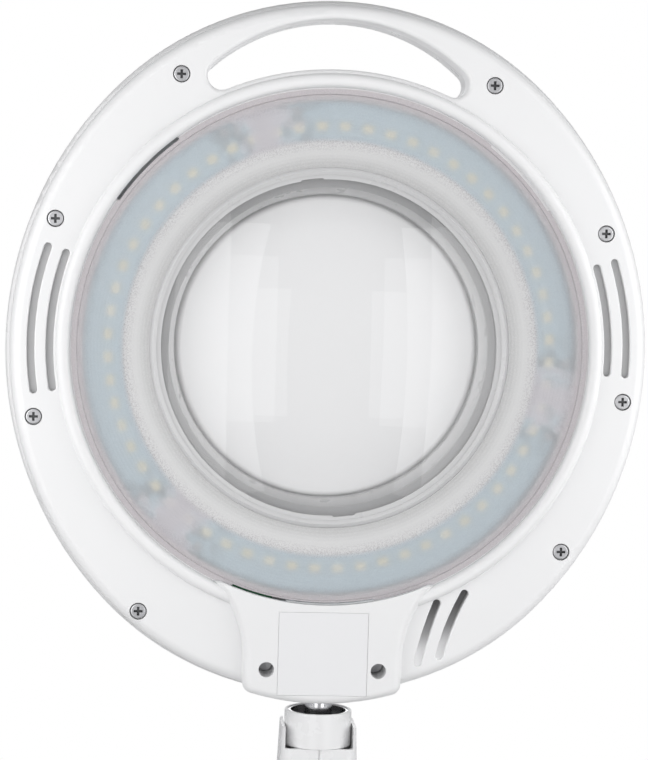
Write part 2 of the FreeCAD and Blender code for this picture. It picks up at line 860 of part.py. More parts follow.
def seam_groove(face):
    """A shallow V along the seam of the shroud's front or back."""
    depth = "0.8"
    edge = f"{face} * shroud_half_deep"
    points = [(f"-{depth}", edge), (depth, edge), ("0", f"{edge} - {face} * {depth}")]
    flat = Rotation()
    return extrude(polygon(points, flat, ("0", "0", "-20")), "90", Vector(0, 0, 1))


def build_knuckle():
    """Everything that tilts with the head: socket and its plated lining, shroud and its screw."""
    keep(neck_socket(), "neck_socket", TILT)
    lining = ring("cup_inner - run_fit", "cup_inner - 1", "9", ("0", "0", f"{RIM} - 9.3"))
    keep(lining, "socket_ring", TILT)
    keep(shroud(-1), "shroud_left", TILT)
    keep(shroud(1), "shroud_right", TILT)
    reach = f"{CHEEK_AT_SCREW} + 0.15"
    head = rod("2.6", "1.6", (reach, "0", "shroud_screw_rise"), "x")
    shank = rod("screw_shank", f"2 * ({reach}) - 1", (f"-({reach}) + 1.2", "0", "shroud_screw_rise"), "x")
    slot = block((f"{reach} + 0.8", "-3", "shroud_screw_rise - 0.4"), ("2", "6", "0.8"))
    keep(cut(fuse(head, shank), slot), "shroud_screw", TILT)


# ---------------------------------------------------------------------------
# Head
# ---------------------------------------------------------------------------
CROWN = "(lens_curve - sqrt(lens_curve^2 - lens_radius^2))"
LENS_FRONT = "(lens_back - lens_edge)"
SEAT = "(lens_back + seat_depth + 0.55)"
COVER_FLOOR = "cover_depth - shell_wall"
BEZEL_FLOOR = "-bezel_depth + shell_wall"
NECK_FRONT = "-bezel_depth - neck_raise"

# The bezel screws, as (angle, radius) about the lens.
SCREW_SPOTS = (
    (24.2, 107.6),
    (59.7, 110.9),
    (120.2, 111.2),
    (156.2, 108.4),
    (194.2, 108.7),
    (235.2, 116.6),
    (320.2, 111.6),
    (351.2, 107.6),
)


# The gaps in the diffuser's ledge, as (first angle, last angle).
CLIP_WINDOWS = ((127.9, 146.2), (249, 261.4))

# The gills beside the neck, as (centre x, centre z, radius, first angle, last angle).
GILLS = (
    (181.5, -143.6, 150, 159.5, 168.1),
    (132.3, -130.4, 92, 152.1, 167.3),
)


def handle_hole(grow, front, length):
    """The grab opening: a crescent with round ends, larger all round by grow."""
    rise = size("handle_rise")
    end = size("handle_end")
    inner = size("handle_inner") + end
    outer = size("handle_outer") - end
    end_height = (inner**2 - outer**2 + rise**2) / (2 * rise)
    end_side = math.sqrt(inner**2 - end_height**2)
    inner_angle = math.degrees(math.atan2(end_height, end_side))
    outer_angle = math.degrees(math.atan2(end_height - rise, end_side))
    bigger = size(grow)
    arcs = (
        (0, rise, outer + end + bigger, outer_angle, 180 - outer_angle),
        (0, 0, inner - end - bigger, inner_angle, 180 - inner_angle),
        (end_side, end_height, end + bigger, inner_angle - 180, outer_angle),
        (-end_side, end_height, end + bigger, 180 - outer_angle, 360 - inner_angle),
    )
    joints = ((2, 1, 1, 1), (2, 2, 0, 1), (3, 1, 0, 2), (3, 2, 1, 2))
    held = (
        (("DistanceX", -1, 1, 0, 3), "0"),
        (("DistanceY", -1, 1, 0, 3), "handle_rise"),
        (("DistanceX", -1, 1, 1, 3), "0"),
        (("DistanceY", -1, 1, 1, 3), "0"),
        (("Radius", 0), f"handle_outer + {grow}"),
        (("Radius", 1), f"handle_inner - {grow}"),
        (("Radius", 2), f"handle_end + {grow}"),
        (("Radius", 3), f"handle_end + {grow}"),
    )
    sketch = arc_outline(arcs, joints, held)
    put(sketch, ("0", front, "0"))
    return extrude(sketch, length, INTO_HEAD)


def vent_baffles():
    """A plate behind the slots at each side, on a post at each end, that hides the inside."""
    back = f"{BEZEL_FLOOR} - 0.1"
    spot = ("0", back, "0")
    inside = oval_slab("0.1 - shell_wall", back, "bezel_depth")
    baffles = []
    for side in ("left", "right"):
        first = f"vent_{side} - vent_{side}_swing - 2"
        last = f"vent_{side} + vent_{side}_swing + 2"
        solid = arc_slot("vent_middle", "11", first, last, "baffle_gap + baffle_thick + 0.1", spot)
        gap = arc_slot("vent_middle", "14", f"{first} + 1.5", f"{last} - 1.5", "baffle_gap + 0.1", spot)
        baffles.append(common(cut(solid, gap), inside))
    return baffles


def gills(grow, front, lift):
    """The two curved gills, larger all round by grow, down to a sloping floor moved back by lift."""
    shallow = f"1 - bezel_depth + {lift}"
    deep = f"{BEZEL_FLOOR} + 3.4 + {lift}"
    profile = [
        ("-20", "gill_low - 10"),
        (shallow, "gill_low - 10"),
        (shallow, "gill_low"),
        (deep, "gill_high"),
        (deep, "gill_high + 10"),
        ("-20", "gill_high + 10"),
    ]
    shapes = []
    for across, up, radius, first, last in GILLS:
        slot = arc_slot(radius, f"gill_width + 2 * {grow}", first, last, "20", (across, front, up))
        floor = extrude(polygon(profile, SIDE_ON, ("20", "0", "0")), "50", TO_THE_RIGHT)
        shapes.append(common(slot, floor))
    return shapes


def handle_rim(level):
    """A test for the edges of the grab opening in one face of the head."""
    in_plane = flat_at("Y", level)
    low = size("handle_rise")
    high = size("handle_rise + handle_outer")

    def chosen(box):
        return in_plane(box) and box.ZMin > low and box.ZMax < high + 0.01

    return chosen


def neck_outline(inset, front, length):
    """The neck's platform: scooped sides, a curved bottom edge, and open towards the lens."""
    side = f"(neck_half_width - {inset})"
    bottom = f"(neck_bottom - {inset})"
    slab = middle_block("84", (front, f"-{bottom}"), (length, f"{bottom} - 84"))
    scoops = []
    for way in (-1, 1):
        middle = f"{way} * ({side} + neck_scoop)"
        scoops.append(rod("neck_scoop", length, (middle, front, "-neck_shoulder"), "y"))
        low = (span(way, side, f"{side} + neck_scoop"), front, "-neck_bottom - 1")
        scoops.append(block(low, ("neck_scoop", length, "neck_bottom + 1 - neck_shoulder")))
    curved = rod(f"neck_arc - {inset}", length, ("0", front, "-neck_bottom + neck_arc"), "y")
    return common(cut(slab, *scoops), curved)


def low_neck_corners(box):
    """A test for the two corners at the bottom of the neck, which run front to back."""
    is_deep = box.YLength > 1 and box.XLength + box.ZLength < 0.01
    return is_deep and box.ZMax < -size("neck_shoulder") and abs(box.XMax) > size("neck_half_width") - 1


def screw_posts(near, length, radius, spots=SCREW_SPOTS):
    """A post or bore at every bezel screw."""
    posts = []
    for angle, reach in spots:
        across, up = around(angle, reach)
        posts.append(rod(radius, length, (across, near, up), "y"))
    return posts


def neck_rods(radius, near, length):
    """A post or bore at each of the two screws beside the stud."""
    return [
        rod(radius, length, (f"{side} * neck_hole_side", near, "-neck_hole_drop"), "y")
        for side in (-1, 1)
    ]


def vents():
    """The slots in the bezel: a pair at each side, and the gills beside the neck."""
    depth = f"20 + {BEZEL_FLOOR} + baffle_gap - 0.02"
    slots = []
    for side in ("left", "right"):
        first = f"vent_{side} - vent_{side}_swing"
        last = f"vent_{side} + vent_{side}_swing"
        for radius in ("vent_inner", "vent_outer"):
            slots.append(arc_slot(radius, "vent_width", first, last, depth, ("0", "-20", "0")))
    return [*slots, *gills("0", "-20", "0")]


def vent_rims(box):
    """A test for the front edges of the bezel's slots."""
    reach = math.hypot((box.XMin + box.XMax) / 2, (box.ZMin + box.ZMax) / 2)
    beyond_bead = reach > size("bead_radius + bead_width") and max(box.XLength, box.ZLength) > 1
    return flat_at("Y", "-bezel_depth")(box) and beyond_bead and box.ZMax < size("handle_rise")


def lower_bezel():
    """The front shell: an oval tray with the light's opening, bead, handle, neck and screw posts."""
    blank = oval_slab("0", "-bezel_depth", "bezel_depth")
    slab = fillet(blank, "bezel_edge", flat_at("Y", "-bezel_depth"))
    hollow = oval_slab("-shell_wall", BEZEL_FLOOR, "bezel_depth")
    blank_neck = neck_outline("0", NECK_FRONT, "bezel_depth + neck_raise")
    round_neck = fillet(blank_neck, "neck_corner", low_neck_corners)
    neck = fillet(round_neck, "neck_edge", flat_at("Y", NECK_FRONT))
    neck_hollow = neck_outline("shell_wall", f"{NECK_FRONT} + shell_wall", "bezel_depth + neck_raise")
    tray = cut(fuse(slab, neck), hollow, neck_hollow)
    bead_middle = "-bezel_depth - bead_height + bead_round"
    diffuser_back = "-diffuser_front + diffuser_thick + 0.05"
    bead_foot = turned("bead", [
        ("bead_radius + bead_width", BEZEL_FLOOR),
        ("bead_radius + bead_width", bead_middle),
        ("bead_radius", bead_middle),
        ("bead_radius", diffuser_back),
        ("bead_radius - 1.3", diffuser_back),
        ("bead_radius - 1.3", BEZEL_FLOOR),
    ])
    bead_top = torus("bead_radius + bead_round", "bead_round", ("0", bead_middle, "0"))
    light_hole = rod("bead_radius", "40", ("0", "-diffuser_front - 0.15", "0"), "y")
    lip_hole = rod("bead_radius - neck_lip", "20", ("0", "-20", "0"), "y")
    body = fuse(
        cut(tray, light_hole, lip_hole),
        bead_foot,
        bead_top,
        *vent_baffles(),
        *gills("gill_wall", f"{BEZEL_FLOOR} - 0.1", "gill_wall"),
        handle_hole("shell_wall", "-bezel_depth + 1", "bezel_depth - 1"),
        *screw_posts("-bezel_depth + 1", "bezel_depth - 1", "post_radius"),
        *neck_rods("neck_hole + 1.6", f"{NECK_FRONT} + 1", f"-({NECK_FRONT}) - 2.2"),
    )
    opened = fillet(cut(body, handle_hole("0", "-20", "40")), "hole_edge", handle_rim("-bezel_depth"))
    slotted = fillet(cut(opened, *vents()), "vent_edge", vent_rims)
    return cut(
        slotted,
        *screw_posts("-20", "30", "screw_bore"),
        *screw_posts("-20", "20 - bezel_depth + screw_high + 0.3", "screw_head + 0.25"),
        *neck_rods("neck_hole", "-25", "30"),
        *clip_windows(),
        label_plate("0.1", "2"),
        rod("stud_radius + 0.3", "14", ("0", "0", "-neck_bottom - 2")),
    )


def clip_windows():
    """Gaps in the ledge that the diffuser's rim rests on."""
    start = ("0", "-diffuser_front", "0")
    return [arc_slot("bead_radius - 0.6", "1.4", *ends, "4", start) for ends in CLIP_WINDOWS]


def label_plate(grow, proud):
    """The blank plate on the neck, or the recess it sits in, 0.5 deep."""
    return middle_block(
        f"32.2 + 2 * {grow}",
        (f"{NECK_FRONT} + 0.5 - {proud}", f"-124.6 - {grow}"),
        (proud, f"30 + 2 * {grow}"),
    )


def upper_cover():
    """The back shell: an oval dish with the lens seat, handle wall, posts and hinge lugs."""
    blank = oval_slab("cover_overhang", "0", "cover_depth")
    domed = fillet(blank, "cover_edge", flat_at("Y", "cover_depth"))
    slab = fillet(domed, "cover_rim", flat_at("Y", "0"))
    hollow = fillet(
        oval_slab("cover_overhang - shell_wall", "-1", f"{COVER_FLOOR} + 1"),
        "cover_edge - shell_wall",
        flat_at("Y", COVER_FLOOR),
    )
    tunnel = turned("tunnel", [
        ("lens_radius + 0.3 + seat_wall", f"{LENS_FRONT} - 0.3"),
        ("lens_radius + 0.3 + seat_wall", "cover_depth"),
        ("liner_radius + 0.8", "cover_depth"),
        ("view_radius - 3.2", f"{SEAT} + 3"),
        ("view_radius - 3.2", SEAT),
        ("lens_radius + 0.3", SEAT),
        ("lens_radius + 0.3", f"{LENS_FRONT} - 0.3"),
    ])
    lens_hole = rod("lens_radius + 1", "40", ("0", "-20", "0"), "y")
    board_posts = [
        rod("2.6", f"{COVER_FLOOR} + board_front - board_thick + 1", spot, "y")
        for spot in board_screw_spots("-board_front + board_thick")
    ]
    body = fuse(
        cut(slab, hollow, lens_hole),
        tunnel,
        handle_hole("shell_wall", "0", "cover_depth - 1"),
        *screw_posts("0", "cover_depth - 1", "post_radius"),
        *neck_rods("post_radius", "2.6", f"{COVER_FLOOR} - 1.8"),
        *board_posts,
        *hinge_lugs(),
    )
    board_bores = [rod("0.85", "8", spot, "y") for spot in board_screw_spots("-board_front")]
    return cut(
        body,
        handle_hole("0", "-20", "40"),
        *screw_posts("-1", "9.5", "screw_bore"),
        *neck_rods("screw_bore", "0", "8.5"),
        *board_bores,
        switch_body("0.1", "0", "20"),
        rod("4", "20", ("0", "0", "-grommet_drop"), "y"),
        rod("stud_radius + 0.3", "14", ("0", "0", "-neck_bottom - 2")),
    )


HINGE = ("cover_depth + hinge_radius + 0.5", "-hinge_drop")
HINGE_BORE = "1.25 + run_fit"
LUG_NEAR = "12"
LID_RIM = "cover_depth + lid_gap"
LID_CROWN = "(lid_curve - sqrt(lid_curve^2 - lid_radius^2))"


def hinge_lugs():
    """Two lugs behind the lens that carry the lens cover's pin."""
    lugs = []
    for side in (-1, 1):
        near = span(side, LUG_NEAR, f"{LUG_NEAR} + 4")
        low = f"{HINGE[1]} - hinge_radius"
        arm = block((near, "cover_depth - 1", low), ("4", "hinge_radius + 1.5", "2 * hinge_radius"))
        knuckle = rod("hinge_radius", "4", (near, *HINGE), "x")
        bore = rod(HINGE_BORE, "6", (f"{near} - 1", *HINGE), "x")
        lugs.append(cut(fuse(arm, knuckle), bore))
    return lugs


def lid_ball(inset):
    """The ball whose surface is the lid's outer face, or its inner face, inset from it."""
    return sphere(f"lid_curve - {inset}", ("0", f"{LID_RIM} + lid_thick + {LID_CROWN} - lid_curve", "0"))


def lens_cover():
    """The domed lid behind the lens, with a hinge barrel below and a finger tab above."""
    disc = rod("lid_radius", "20", ("0", LID_RIM, "0"), "y")
    dome = cut(common(disc, lid_ball("0")), lid_ball("lid_thick"))
    lip = ring("lid_radius", "lid_radius - 3.5", "2", ("0", LID_RIM, "0"), "y")
    wide = f"2 * {LUG_NEAR} - 0.4"
    tongue = middle_block(wide, ("cover_depth + 0.9", HINGE[1]), ("lid_thick", "8"))
    barrel = rod("hinge_radius", wide, (f"-{LUG_NEAR} + 0.2", *HINGE), "x")
    tab = middle_block("20", (f"{LID_RIM} + 0.1", "lid_radius - 3"), ("lid_thick", "8.5"))
    bore = rod(HINGE_BORE, "40", ("-20", *HINGE), "x")
    return cut(fuse(dome, lip, tongue, barrel, tab), bore)


def cover_liner():
    """The crowned dish inside the lid, which fills the opening behind the lens."""
    centre = ("0", "liner_front + liner_curve", "0")
    length = "16"
    crown = common(
        rod("liner_radius", length, ("0", "liner_front", "0"), "y"),
        sphere("liner_curve", centre),
    )
    rim_level = "liner_front + liner_curve - sqrt(liner_curve^2 - liner_radius^2)"
    rounded = fillet(crown, "liner_edge", flat_at("Y", rim_level))
    core = common(
        rod("liner_radius - liner_thick", length, ("0", "liner_front", "0"), "y"),
        sphere("liner_curve - liner_thick", centre),
    )
    return common(cut(rounded, core), lid_ball("lid_thick"))


def build_shells():
    """The two halves of the head, the lid behind the lens, and what joins them."""
    keep(lower_bezel(), "lower_bezel", HEAD)
    keep(upper_cover(), "upper_cover", HEAD)
    keep(lens_cover(), "lens_cover", HEAD)
    keep(cover_liner(), "cover_liner", HEAD)
    reach = f"{LUG_NEAR} + 3.9"
    keep(rod("1.25", f"2 * ({reach})", (f"-({reach})", *HINGE), "x"), "cover_hinge_pin", HEAD)
    keep(label_plate("0", "0.4"), "blank_label", HEAD)
    screws = [cross_screw(*around(angle, reach)) for angle, reach in SCREW_SPOTS]
    keep(group(*screws), "bezel_screws", HEAD)


def cross_screw(across, up):
    """A pan-head screw with a cross recess, pointing into the head."""
    top = "-bezel_depth + 0.3"
    head = rod("screw_head", "screw_high", (across, top, up), "y")
    shank = rod("screw_shank", "17", (across, f"{top} + screw_high - 0.5", up), "y")
    rounded = fillet(fuse(head, shank), "0.6", flat_at("Y", top))
    low = f"{top} - 1"
    arms = [
        block((f"{across} - {wide} / 2", low, f"{up} - {high} / 2"), (wide, "2.5", high))
        for wide, high in (("3.2", "0.9"), ("0.9", "3.2"))
    ]
    return cut(rounded, *arms)


def build_lens():
    """The lens with the gasket behind it and the ring that holds it in its seat."""
    blank = rod("lens_radius", "30", ("0", "-15", "0"), "y")
    front = sphere("lens_curve", ("0", f"{LENS_FRONT} - {CROWN} + lens_curve", "0"))
    back = sphere("lens_curve", ("0", f"lens_back + {CROWN} - lens_curve", "0"))
    keep(common(common(blank, front), back), "glass_lens", HEAD)
    near = f"{SEAT} - seat_depth"
    gasket = turned("gasket", [
        ("lens_radius", near),
        ("view_radius + 0.4", near),
        ("view_radius - 3", f"{near} + 0.55"),
        ("view_radius - 3", SEAT),
        ("lens_radius", SEAT),
    ])
    keep(gasket, "lens_gasket", HEAD)
    ring_back = f"({LENS_FRONT} - 0.55)"
    retaining = turned("retaining_ring", [
        ("view_radius", ring_back),
        ("cone_inner", ring_back),
        ("cone_inner", f"{ring_back} - 2.6"),
        ("cone_inner - 1.2", f"{ring_back} - 3.1"),
        ("view_radius + 1.7", f"{ring_back} - 2.4"),
        ("view_radius + 1.7", f"{ring_back} - 1.7"),
        ("view_radius", f"{ring_back} - 1.1"),
    ])
    notches = [
        arc_slot("view_radius", "0.9", first, last, "6", ("0", f"{ring_back} - 4", "0"))
        for first, last in ((94, 101), (273, 280))
    ]
    keep(cut(retaining, *notches), "lens_retaining_ring", HEAD)


def diffuser():
    """The frosted ring over the light: a flange, a flat and a cone that runs in to the lens."""
    front = "-diffuser_front"
    flat = f"{front} + 0.6"
    inner = "cone_inner + 0.1"
    plate = turned("diffuser_plate", [
        ("diffuser_radius", front),
        ("diffuser_radius - flange_width", front),
        ("diffuser_radius - flange_width - 0.4", flat),
        ("cone_outer", flat),
        (inner, "-cone_depth - 0.9"),
        (inner, "-cone_depth + 0.3"),
        ("cone_outer + 0.6", f"{flat} + diffuser_thick"),
        ("diffuser_radius", f"{flat} + diffuser_thick - 0.6"),
    ])
    in_front = flat_at("Y", flat)

    def shoulder(box):
        return in_front(box) and abs(box.XMax - size("cone_outer")) < 0.01

    plate = fillet(plate, "cone_shoulder", shoulder)
    notches = [
        arc_slot(f"diffuser_radius - {inset}", "1.3", first, last, "6", ("0", f"{front} - 2", "0"))
        for inset, first, last in ((0, 34.4, 53.0), (0, 127.9, 146.2), (0.7, 249, 281))
    ]
    return cut(plate, *notches)


def board_screw_spots(near):
    """Six screws, two near the ends of each board, as points."""
    spots = []
    for turn in (0, 120, 240):
        for side in (-9, 9):
            across, up = around(f"board_turn + {turn + side}", "board_outer - 2.6")
            spots.append((across, near, up))
    return spots


def light_board(first):
    """A third of the ring that carries the LEDs, from an angle, with a screw hole near each end."""
    blank = ring("board_outer", "board_inner", "board_thick", ("0", "-board_front", "0"), "y")
    angle = size(first)
    wedge_reach = 110
    corners = [
        (0, 0),
        *[
            (
                wedge_reach * math.cos(math.radians(angle + turn)),
                wedge_reach * math.sin(math.radians(angle + turn)),
            )
            for turn in (size("board_gap") / 2, 60, 120 - size("board_gap") / 2)
        ],
    ]
    points = [Vector(x, -10, z) for x, z in corners]
    outline = doc.addObject("Part::Feature", "wedge_outline")
    outline.Shape = Part.makePolygon([*points, points[0]])
    sector = extrude(outline, "20", INTO_HEAD)
    holes = [rod("1", "10", (x, "-8", z), "y") for x, _, z in board_screw_spots("0")]
    return cut(common(blank, sector), *holes)


def build_light():
    """The LED ring, its screws, the diffuser over it, and the driver that feeds it."""
    keep(diffuser(), "diffuser", HEAD)
    boards = [light_board(f"board_turn + {turn}") for turn in (0, 120, 240)]
    keep(group(*boards), "led_boards", HEAD)
    chips = []
    for number in range(60):
        angle = f"board_turn + {3 + 6 * number}"
        across, up = around(angle, "led_radius")
        corner = ("-led_long / 2", "-board_front - led_high", "-led_wide / 2")
        chip = block(corner, ("led_long", "led_high", "led_wide"))
        spot = Vector(size(across), 0, size(up))
        chips.append(moved(chip, spot, -size(angle) + 90))
    keep(group(*chips), "led_chips", HEAD)
    screws = []
    for across, near, up in board_screw_spots("-board_front"):
        head = rod("1.6", "0.9", (across, f"{near} - 0.9", up), "y")
        screws.append(fuse(head, rod("0.8", "6", (across, f"{near} - 0.1", up), "y")))
    keep(group(*screws), "board_screws", HEAD)

    board = block(("-54", "2", "-94"), ("36", "board_thick", "18"))
    transformer = block(("-50", "2 + board_thick", "-91"), ("12", "4.5", "10"))
    capacitor = rod("3", "5", ("-32", "2 + board_thick", "-84"), "y")
    choke = rod("2.4", "4", ("-24", "2 + board_thick", "-88"), "y")
    keep(fuse(board, transformer, capacitor, choke), "driver_board", HEAD)
    board_back = "-board_front + board_thick"
    wires = [
        rod("wire_radius", f"2 - ({board_back})", (across, board_back, up), "y")
        for across, up in (("-39", "-77.5"), ("-36", "-78.5"))
    ]
    keep(group(*wires), "led_wires", HEAD)


def switch_body(grow, near, far):
    """The block of the power switch, centred on the back of the neck."""
    return middle_block(
        f"19 + 2 * {grow}",
        (near, f"-switch_drop - 6.5 - {grow}"),
        (f"{far} - ({near})", f"13 + 2 * {grow}"),
    )


def build_switch():
    """The rocker switch behind the neck, and the grommet that the cord comes in through."""
    depth = "cover_depth"
    flange = middle_block("21.5", (depth, "-switch_drop - 7.75"), ("1.6", "15.5"))
    well = middle_block("15", ("5.5", "-switch_drop - 5"), ("12", "10"))
    keep(cut(fuse(switch_body("0", "3.5", depth), flange), well), "switch_housing", HEAD)
    # Seen from the side the rocker is a shallow V, switched off, with its lower end pressed in.
    profile = [
        ("0", "-4.3"),
        ("4.4", "-4.3"),
        ("3.5", "0"),
        ("4.4", "4.3"),
        ("0", "4.3"),
        ("-3", "0"),
    ]
    rocker = extrude(polygon(profile, SIDE_ON, ("-7.3", "0", "0")), "14.6", TO_THE_RIGHT)
    pivot = Vector(0, size("cover_depth - 2"), -size("switch_drop"))
    keep(moved(rocker, pivot, size("rocker_turn / 2"), TO_THE_RIGHT), "power_rocker", HEAD)
    grommet = turned("grommet", [
        ("2.6", COVER_FLOOR),
        ("3.95", COVER_FLOOR),
        ("3.95", depth),
        ("5.6", depth),
        ("5.6", f"{depth} + 1.4"),
        ("4.2", f"{depth} + 2.4"),
        ("2.6", f"{depth} + 2.4"),
    ])
    centred = moved(grommet, Vector(0, 0, -size("grommet_drop")))
    keep(centred, "cable_grommet", HEAD)


def build_stud():
    """The chrome stud, the block in the neck that it is screwed into, and their fasteners."""
    low = "-neck_bottom - cup_gap - cup_depth - 17.5"
    top = "-101"
    stud = rod("stud_radius", f"{top} - ({low})", ("0", "0", low))
    keep(fillet(stud, "0.6", flat_at("Z", low)), "head_stud", HEAD)
    clamp_block = middle_block("18", ("-7", "-122"), ("14", "14"))
    ears = middle_block("52", ("0", "-120"), ("2.5", "9"))
    holes = neck_rods("screw_bore + 0.2", "-1", "6")
    stud_hole = rod("stud_radius + run_fit", "30", ("0", "0", "-130"))
    keep(cut(fuse(clamp_block, ears), stud_hole, *holes), "neck_bracket", HEAD)
    nut_hole = rod("stud_radius + run_fit", "7", ("0", "0", "-109"))
    keep(cut(hexagon("8", "5", ("0", "0", "-108")), nut_hole), "stud_nut", HEAD)

    def neck_screw(side):
        spot = (f"{side} * neck_hole_side", "-2", "-neck_hole_drop")
        shank = rod("screw_shank", "8.8", (spot[0], "-0.5", spot[2]), "y")
        return fuse(rod("neck_hole - 0.2", "2", spot, "y"), shank)

    keep(both_sides(neck_screw), "neck_screws", HEAD)


# ---------------------------------------------------------------------------
# Build, check and write
# ---------------------------------------------------------------------------
def check_model():
    """Stop if anything in the document failed, or if a sub-part isn't a sound solid."""
    for thing in doc.Objects:
        if {"Invalid", "Error"} & set(thing.State):
            raise RuntimeError(f"{thing.Label}: {thing.State}")
        if thing.TypeId == "Part::MultiFuse":
            volumes = [piece.Shape.Volume for piece in thing.Shapes]
            if not max(volumes) - 1 < thing.Shape.Volume < sum(volumes) + 1:
                raise RuntimeError(f"{thing.Label}: a fuse came out with the wrong volume")
        if thing.TypeId == "Part::Cut" and thing.Shape.Volume > thing.Base.Shape.Volume - 0.001:
            raise RuntimeError(f"{thing.Label}: a cut took nothing away")
    labels = [node.Label for node in nodes]
    if len(set(labels)) != len(labels):
        raise RuntimeError("two sub-parts share a name")
    for node in nodes:
        shape = node.Shape
        if shape.isNull() or not shape.isValid() or not shape.Solids:
            raise RuntimeError(f"{node.Label}: not a valid solid")
        if min(solid.Volume for solid in shape.Solids) <= 0:
            raise RuntimeError(f"{node.Label}: a solid is inside out")


def write_parts():
    """Write one STEP file for each sub-part."""
    os.makedirs("parts", exist_ok=True)
    for node in nodes:
        node.Shape.exportStep(os.path.join("parts", node.Label + ".step"))


build_clamp()
build_base()
build_arm()
build_tilt()
build_knuckle()
build_shells()
build_lens()
build_light()
build_switch()
build_stud()
doc.recompute()
check_model()
write_parts()
print(f"{len(nodes)} sub-parts, head centre at {HEAD.y:.2f}, {HEAD.z:.2f}")
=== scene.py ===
import json
import math

import bpy
from mathutils import Matrix, Vector


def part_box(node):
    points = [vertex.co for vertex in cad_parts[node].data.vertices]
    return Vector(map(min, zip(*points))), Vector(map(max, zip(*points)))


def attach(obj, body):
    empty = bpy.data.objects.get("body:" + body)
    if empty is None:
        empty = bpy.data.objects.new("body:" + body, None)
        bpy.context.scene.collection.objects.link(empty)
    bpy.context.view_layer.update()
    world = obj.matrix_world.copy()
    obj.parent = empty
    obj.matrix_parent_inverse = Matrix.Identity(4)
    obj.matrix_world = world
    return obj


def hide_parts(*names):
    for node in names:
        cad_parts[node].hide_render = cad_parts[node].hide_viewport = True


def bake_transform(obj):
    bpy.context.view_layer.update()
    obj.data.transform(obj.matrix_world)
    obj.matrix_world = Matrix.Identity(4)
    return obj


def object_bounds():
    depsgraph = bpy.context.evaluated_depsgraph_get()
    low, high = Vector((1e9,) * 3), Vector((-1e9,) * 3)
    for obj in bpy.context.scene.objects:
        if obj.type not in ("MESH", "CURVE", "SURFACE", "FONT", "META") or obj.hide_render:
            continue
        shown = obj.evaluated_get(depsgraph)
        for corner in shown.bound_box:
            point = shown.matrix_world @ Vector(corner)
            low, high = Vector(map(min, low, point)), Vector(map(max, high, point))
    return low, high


# Magnifying lamp: materials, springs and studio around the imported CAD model.
# Metres, in the CAD model's own frame: +Z up, the lit side of the head faces -Y.

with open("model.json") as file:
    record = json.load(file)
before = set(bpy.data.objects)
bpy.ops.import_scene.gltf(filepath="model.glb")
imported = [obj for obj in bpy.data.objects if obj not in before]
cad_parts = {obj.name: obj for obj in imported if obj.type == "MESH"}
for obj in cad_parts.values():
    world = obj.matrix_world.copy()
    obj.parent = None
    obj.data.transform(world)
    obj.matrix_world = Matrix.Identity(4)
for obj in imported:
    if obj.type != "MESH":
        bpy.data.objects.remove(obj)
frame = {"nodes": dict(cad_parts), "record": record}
cad_bounds = [list(corner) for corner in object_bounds()]
nodes = frame["nodes"]

MM = 0.001


def middle(node):
    """The middle of a CAD node's box."""
    low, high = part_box(node)
    return (low + high) / 2


LENS = middle("glass_lens")

# Degrees from the lens axis to the camera. The softboxes stand about the direction as far on the other side,
# where a flat mirror in place of the lens would send the view of the camera.
CAMERA_TURN = -4.4

# Places on the head, as radii about the lens's axis in millimetres.
TUNNEL_BACK = 53.8
TUNNEL_FRONT = 57.8
TUNNEL_LIMIT = 58.6
CONE_EDGE = 73.6
FLAT_EDGE = 88.6
BEAD_EDGE = 98.3
VENTS_FADE = (109.0, 115.0)

# The first of three gaps between the LED boards, and half of their spacing, in degrees about the lens.
BOARD_GAP = 108.7
HALF_BOARD = 60

# Depths behind the front of the bezel, where the painted shade in its vents begins and where it is darkest.
VENT_TOP = 3.9 * MM
VENT_FLOOR = 9.5 * MM

# Height above the lens's middle, below which the bezel's only openings are its vents.
HANDLE_RISE = 60 * MM


# ---------------------------------------------------------------------------
# Camera
# ---------------------------------------------------------------------------
def add_camera():
    """Nearly face-on to the head, a little above it and to its left."""
    distance = 0.85
    azimuth = math.radians(CAMERA_TURN)
    elevation = math.radians(3.4)
    roll = math.radians(1.7)
    target = LENS + Vector((-1.5, 0, -11.7)) * MM
    back = Vector((
        math.sin(azimuth) * math.cos(elevation),
        -math.cos(azimuth) * math.cos(elevation),
        math.sin(elevation),
    ))
    data = bpy.data.cameras.new("camera")
    data.sensor_fit = "VERTICAL"
    data.sensor_height = 36
    data.lens = 111.1
    data.clip_start = 0.01
    camera = bpy.data.objects.new("camera", data)
    aim = back.to_track_quat("Z", "Y")
    camera.matrix_world = (
        Matrix.Translation(target + back * distance)
        @ aim.to_matrix().to_4x4()
        @ Matrix.Rotation(roll, 4, "Z")
    )
    bpy.context.scene.collection.objects.link(camera)
    bpy.context.scene.camera = camera


# ---------------------------------------------------------------------------
# Studio
# ---------------------------------------------------------------------------
def seen_from_lens(azimuth, elevation, distance):
    """A point in front of the lens, by its direction from there in degrees."""
    turn = math.radians(azimuth)
    rise = math.radians(elevation)
    away = Vector((math.sin(turn) * math.cos(rise), -math.cos(turn) * math.cos(rise), math.sin(rise)))
    return LENS + away * distance


def add_area(name, place, aim, size, brightness):
    """A softbox of (width, height) at a place, aimed at a point, with an even brightness."""
    width, height = size
    data = bpy.data.lights.new(name, "AREA")
    data.shape = "RECTANGLE"
    data.size = width
    data.size_y = height
    data.energy = brightness * math.pi * width * height
    light = bpy.data.objects.new(name, data)
    direction = aim - place
    light.location = place
    light.rotation_euler = direction.to_track_quat("-Z", "Y").to_euler()
    light.visible_camera = False
    bpy.context.scene.collection.objects.link(light)


